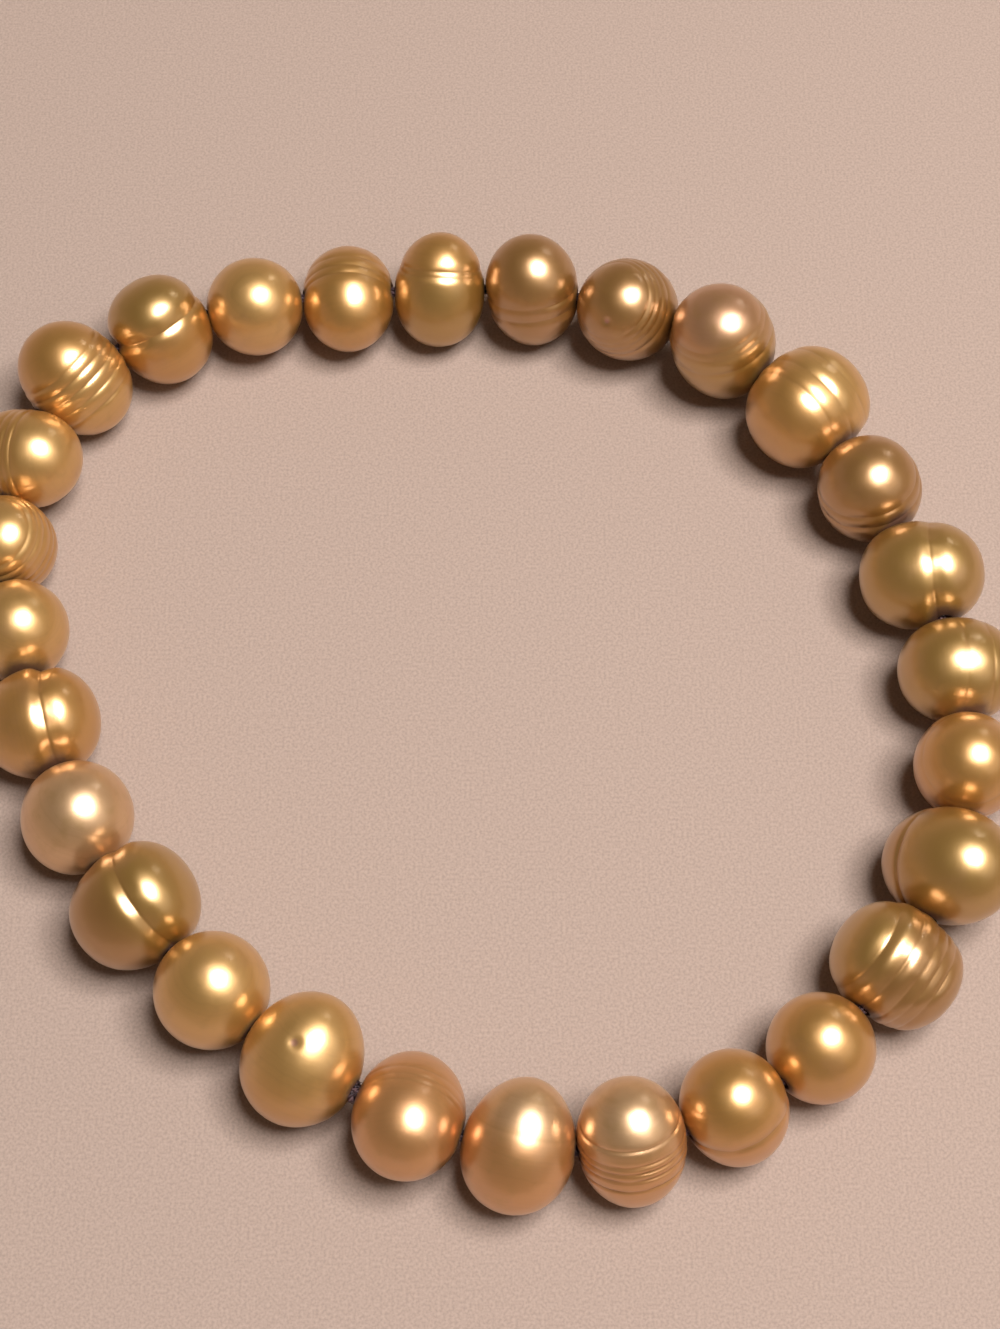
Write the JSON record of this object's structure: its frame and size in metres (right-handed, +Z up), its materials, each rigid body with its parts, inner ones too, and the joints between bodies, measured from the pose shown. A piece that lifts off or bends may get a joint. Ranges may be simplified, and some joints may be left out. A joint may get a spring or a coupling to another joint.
{
  "type": "pearl bracelet",
  "caption": "Stretch bracelet of golden ringed freshwater pearls on a dark elastic cord, lying flat as a closed loop.",
  "frame": {"origin": "middle of the loop's plan box, on the surface that the pearls rest on", "axes": "+Z up, square to the plane of the loop; +X to the right and +Y away from the viewer of the picture"},
  "size_m": [0.0684, 0.0664, 0.0081],
  "materials": {
    "nacre_peach": "glossy dyed nacre, peach tone, metallic lustre over fine growth rings",
    "nacre_amber": "glossy dyed nacre, amber tone, metallic lustre over fine growth rings",
    "nacre_gold": "glossy dyed nacre, gold tone, metallic lustre over fine growth rings",
    "nacre_olive": "glossy dyed nacre, olive tone, metallic lustre over fine growth rings",
    "nacre_bronze": "glossy dyed nacre, bronze tone, metallic lustre over fine growth rings",
    "nacre_champagne": "glossy dyed nacre, champagne tone, metallic lustre over fine growth rings",
    "elastic": "matt dark purple-black stretch cord of several fine strands"
  },
  "bodies": {
    "root": {"pearl_01": "nacre_peach", "pearl_02": "nacre_amber", "pearl_03": "nacre_gold", "pearl_04": "nacre_gold", "pearl_05": "nacre_bronze", "pearl_06": "nacre_champagne", "pearl_07": "nacre_gold", "pearl_08": "nacre_gold", "pearl_09": "nacre_gold", "pearl_10": "nacre_gold", "pearl_11": "nacre_olive", "pearl_12": "nacre_bronze", "pearl_13": "nacre_peach", "pearl_14": "nacre_olive", "pearl_15": "nacre_olive", "pearl_16": "nacre_bronze", "pearl_17": "nacre_gold", "pearl_18": "nacre_peach", "pearl_19": "nacre_gold", "pearl_20": "nacre_olive", "pearl_21": "nacre_gold", "pearl_22": "nacre_gold", "pearl_23": "nacre_amber", "pearl_24": "nacre_olive", "pearl_25": "nacre_bronze", "pearl_26": "nacre_gold", "pearl_27": "nacre_amber", "pearl_28": "nacre_champagne", "elastic_cord": "elastic"}
  },
  "joints": []
}
